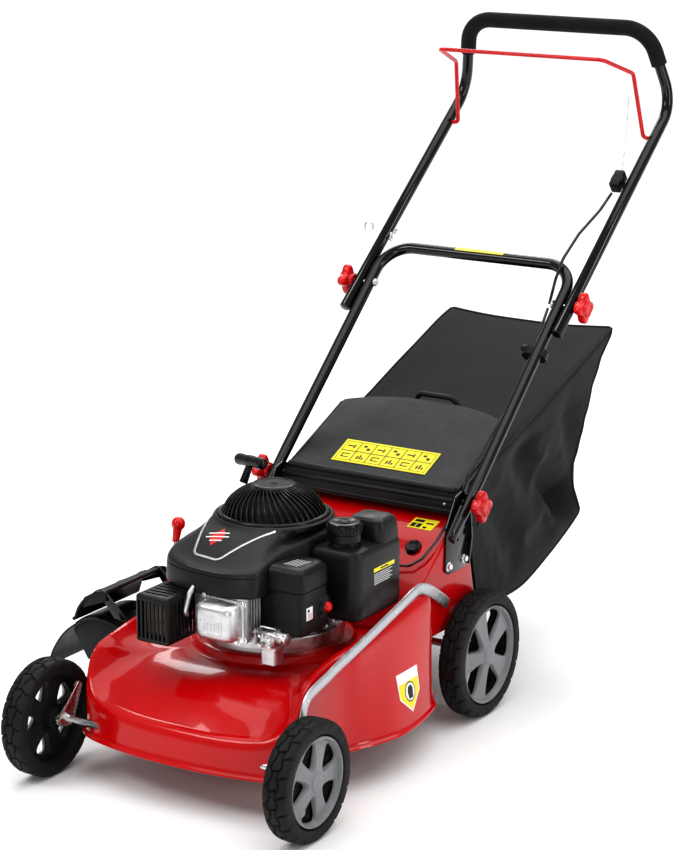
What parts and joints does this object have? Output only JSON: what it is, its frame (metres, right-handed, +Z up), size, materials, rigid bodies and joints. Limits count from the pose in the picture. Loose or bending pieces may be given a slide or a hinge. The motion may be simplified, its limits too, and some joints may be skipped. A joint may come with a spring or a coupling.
{
  "type": "push lawn mower",
  "caption": "Petrol push lawn mower: pressed deck with engine and blade, wheels on cranked axles, folding handle with stop bail, rear flap with grass bag, side chute.",
  "frame": {"origin": "on the ground under the middle of the mower's footprint, which reaches from the side chute to the front wheel's outer face and from the front wheels to the handle", "axes": "+Y from the front of the mower to its handle, +X to the side away from the chute, +Z up"},
  "size_m": [0.6106, 1.2784, 1.0434],
  "materials": {
    "red_paint": "gloss",
    "black_paint": "gloss",
    "silver_paint": "satin",
    "black_plastic": "fine texture",
    "grey_plastic": "satin",
    "red_plastic": "satin gloss",
    "tyre_black": "matt",
    "foam_black": "matt foam",
    "zinc": "zinc plated",
    "cast_aluminium": "as cast",
    "dark_steel": "dark, heat stained",
    "bag_cloth": "woven mesh"
  },
  "bodies": {
    "chassis": {"deck_shell": "red_paint", "trim_left": "silver_paint", "trim_right": "silver_paint", "engine_base": "cast_aluminium", "cylinder": "cast_aluminium", "rocker_cover": "cast_aluminium", "muffler": "dark_steel", "muffler_guard": "black_plastic", "blower_shroud": "black_plastic", "fan_grille": "black_plastic", "air_filter_box": "black_plastic", "carburettor": "cast_aluminium", "fuel_tank": "black_plastic", "bracket_left": "black_paint", "bracket_right": "black_paint", "flap_rod": "zinc", "deck_plug": "black_plastic", "cable_deck": "black_plastic"},
    "height_lever": {"height_lever": "zinc", "lever_ball": "red_plastic"},
    "front_axle": {"front_axle": "zinc"},
    "rear_axle": {"rear_axle": "zinc"},
    "height_link": {"height_link": "zinc"},
    "wheel_front_left": {"wheel_front_left": "tyre_black", "rim_front_left": "grey_plastic"},
    "wheel_front_right": {"wheel_front_right": "tyre_black", "rim_front_right": "grey_plastic"},
    "wheel_rear_left": {"wheel_rear_left": "tyre_black", "rim_rear_left": "grey_plastic"},
    "wheel_rear_right": {"wheel_rear_right": "tyre_black", "rim_rear_right": "grey_plastic"},
    "rotor": {"crankshaft": "dark_steel", "flywheel": "cast_aluminium", "blade": "dark_steel", "blade_bolt": "zinc"},
    "starter": {"starter_handle": "black_plastic"},
    "fuel_cap": {"fuel_cap": "black_plastic"},
    "oil_cap": {"oil_filler_cap": "black_plastic"},
    "primer": {"primer_bulb": "red_plastic"},
    "lower_handle": {"lower_handle": "black_paint", "handle_bolt_left": "zinc", "handle_bolt_right": "zinc", "cable_lower": "black_plastic"},
    "upper_handle": {"upper_handle": "black_paint", "foam_grip": "foam_black", "cable_upper": "black_plastic", "cable_clamp": "black_plastic", "rope_guide": "zinc", "brake_wire": "zinc"},
    "knob_lower_left": {"knob_lower_left": "red_plastic"},
    "knob_lower_right": {"knob_lower_right": "red_plastic"},
    "knob_upper_left": {"knob_upper_left": "red_plastic"},
    "knob_upper_right": {"knob_upper_right": "red_plastic"},
    "bail": {"bail": "red_paint"},
    "rear_flap": {"rear_flap": "black_plastic"},
    "bag": {"bag_fabric": "bag_cloth", "bag_frame": "zinc", "bag_handle": "black_plastic"},
    "side_flap": {"side_flap": "black_plastic"},
    "side_chute": {"side_chute": "black_plastic"}
  },
  "joints": [
    {"name": "height_adjust", "type": "hinge", "parent": "chassis", "child": "height_lever", "pos_m": [-0.1728, -0.2501, 0.155], "axis": [1, 0, 0], "range_deg": [-20, 12]},
    {"name": "front_axle_turn", "type": "hinge", "parent": "chassis", "child": "front_axle", "pos_m": [0.0547, -0.5321, 0.085], "axis": [1, 0, 0], "range_deg": [-20, 12]},
    {"name": "rear_axle_turn", "type": "hinge", "parent": "chassis", "child": "rear_axle", "pos_m": [0.0547, 0.0279, 0.0976], "axis": [1, 0, 0], "range_deg": [-20, 12]},
    {"name": "height_link_turn", "type": "hinge", "parent": "front_axle", "child": "height_link", "pos_m": [-0.0553, -0.5321, 0.107], "axis": [1, 0, 0], "range_deg": [-12, 20]},
    {"name": "wheel_spin_front_left", "type": "hinge", "parent": "front_axle", "child": "wheel_front_left", "pos_m": [0.2853, -0.5501, 0.089], "axis": [1, 0, 0], "continuous": true},
    {"name": "wheel_spin_front_right", "type": "hinge", "parent": "front_axle", "child": "wheel_front_right", "pos_m": [-0.1759, -0.5501, 0.089], "axis": [1, 0, 0], "continuous": true},
    {"name": "wheel_spin_rear_left", "type": "hinge", "parent": "rear_axle", "child": "wheel_rear_left", "pos_m": [0.2467, 0.0099, 0.1016], "axis": [1, 0, 0], "continuous": true},
    {"name": "wheel_spin_rear_right", "type": "hinge", "parent": "rear_axle", "child": "wheel_rear_right", "pos_m": [-0.1373, 0.0099, 0.1016], "axis": [1, 0, 0], "continuous": true},
    {"name": "rotor_spin", "type": "hinge", "parent": "chassis", "child": "rotor", "pos_m": [0.0547, -0.2851, 0.2], "axis": [0, 0, 1], "continuous": true},
    {"name": "starter_pull", "type": "slide", "parent": "chassis", "child": "starter", "axis": [-0.1901, 0.8709, 0.4533], "range_m": [0, 0.3], "stiffness_N_per_m": 15, "springref_m": -0.25},
    {"name": "fuel_cap_turn", "type": "hinge", "parent": "chassis", "child": "fuel_cap", "pos_m": [0.1817, -0.2881, 0.37], "axis": [0, 0, 1], "range_deg": [0, 90]},
    {"name": "oil_cap_turn", "type": "hinge", "parent": "chassis", "child": "oil_cap", "pos_m": [-0.0393, -0.3001, 0.25], "axis": [0, 0, 1], "range_deg": [0, 90]},
    {"name": "primer_press", "type": "slide", "parent": "chassis", "child": "primer", "axis": [-1, 0, 0], "range_m": [0, 0.003], "stiffness_N_per_m": 400, "springref_m": -0.001},
    {"name": "lower_handle_fold", "type": "hinge", "parent": "chassis", "child": "lower_handle", "pos_m": [0.0547, -0.0121, 0.349], "axis": [1, 0, 0], "range_deg": [0, 120]},
    {"name": "upper_handle_fold", "type": "hinge", "parent": "lower_handle", "child": "upper_handle", "pos_m": [0.0547, 0.2799, 0.613], "axis": [-1, 0, 0], "range_deg": [-125, 0]},
    {"name": "knob_turn_lower_left", "type": "hinge", "parent": "chassis", "child": "knob_lower_left", "pos_m": [0.2517, -0.0121, 0.349], "axis": [1, 0, 0], "continuous": true},
    {"name": "knob_turn_lower_right", "type": "hinge", "parent": "chassis", "child": "knob_lower_right", "pos_m": [-0.1423, -0.0121, 0.349], "axis": [1, 0, 0], "continuous": true},
    {"name": "knob_turn_upper_left", "type": "hinge", "parent": "lower_handle", "child": "knob_upper_left", "pos_m": [0.2722, 0.2799, 0.613], "axis": [1, 0, 0], "continuous": true},
    {"name": "knob_turn_upper_right", "type": "hinge", "parent": "lower_handle", "child": "knob_upper_right", "pos_m": [-0.1628, 0.2799, 0.613], "axis": [1, 0, 0], "continuous": true},
    {"name": "bail_squeeze", "type": "hinge", "parent": "upper_handle", "child": "bail", "pos_m": [0.0547, 0.5749, 0.85], "axis": [-1, 0, 0], "range_deg": [0, 32], "stiffness_Nm_per_rad": 1, "springref_deg": -20.05, "deforming": ["brake_wire"]},
    {"name": "rear_flap_open", "type": "hinge", "parent": "chassis", "child": "rear_flap", "pos_m": [0.0547, -0.0021, 0.35], "axis": [1, 0, 0], "range_deg": [0, 75], "stiffness_Nm_per_rad": 0.4, "springref_deg": -28.65},
    {"name": "bag_pull", "type": "slide", "parent": "chassis", "child": "bag", "axis": [0, 1, 0], "range_m": [0, 0.12]},
    {"name": "side_flap_open", "type": "hinge", "parent": "chassis", "child": "side_flap", "pos_m": [-0.1753, -0.3376, 0.242], "axis": [0, 1, 0], "range_deg": [0, 80], "stiffness_Nm_per_rad": 0.1, "springref_deg": -28.65},
    {"name": "side_chute_pull", "type": "slide", "parent": "chassis", "child": "side_chute", "axis": [-1, 0, 0], "range_m": [0, 0.1]}
  ],
  "couplings": [
    {"joint": "front_axle_turn", "follows": "height_adjust", "ratio": 1},
    {"joint": "rear_axle_turn", "follows": "height_adjust", "ratio": 1},
    {"joint": "height_link_turn", "follows": "height_adjust", "ratio": -1}
  ]
}
